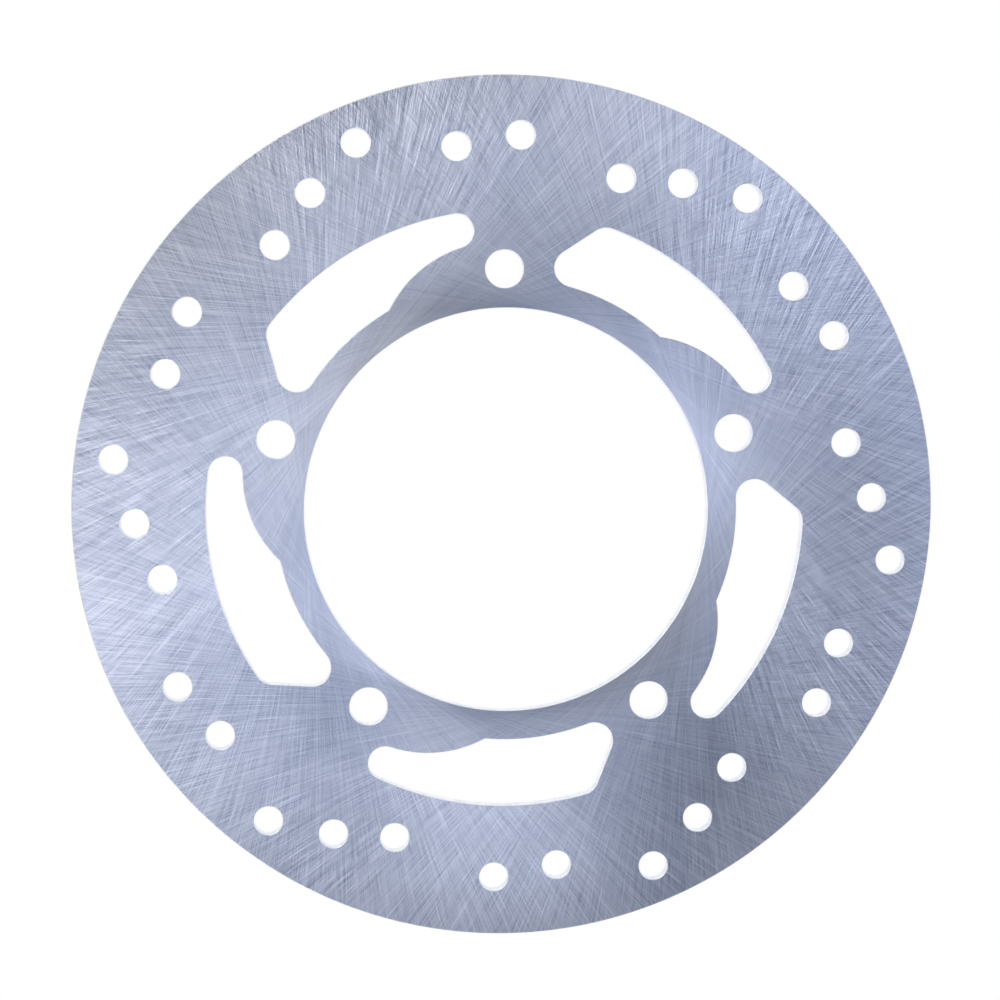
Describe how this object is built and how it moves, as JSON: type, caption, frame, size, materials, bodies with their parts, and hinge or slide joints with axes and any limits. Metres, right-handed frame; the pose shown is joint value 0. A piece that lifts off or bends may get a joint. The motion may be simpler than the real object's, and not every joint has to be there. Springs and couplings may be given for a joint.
{
  "type": "brake disc",
  "caption": "Flat round steel brake disc for a motorcycle wheel, with a wide central bore, a ring of bolt holes, curved lightening windows and a cross-drilled rubbing band.",
  "frame": {"origin": "on the disc's axis, in the back face that lies against the wheel hub", "axes": "+Z along the axis, out of the front face; +Y from the axis through one mounting hole"},
  "size_m": [0.24, 0.24, 0.004],
  "materials": {
    "ground_steel": "rotary-ground stainless steel with fine crossing arcs of grinding marks, cool blue-grey, moderately glossy along the marks"
  },
  "bodies": {
    "root": {"brake_disc": "ground_steel"}
  },
  "joints": []
}
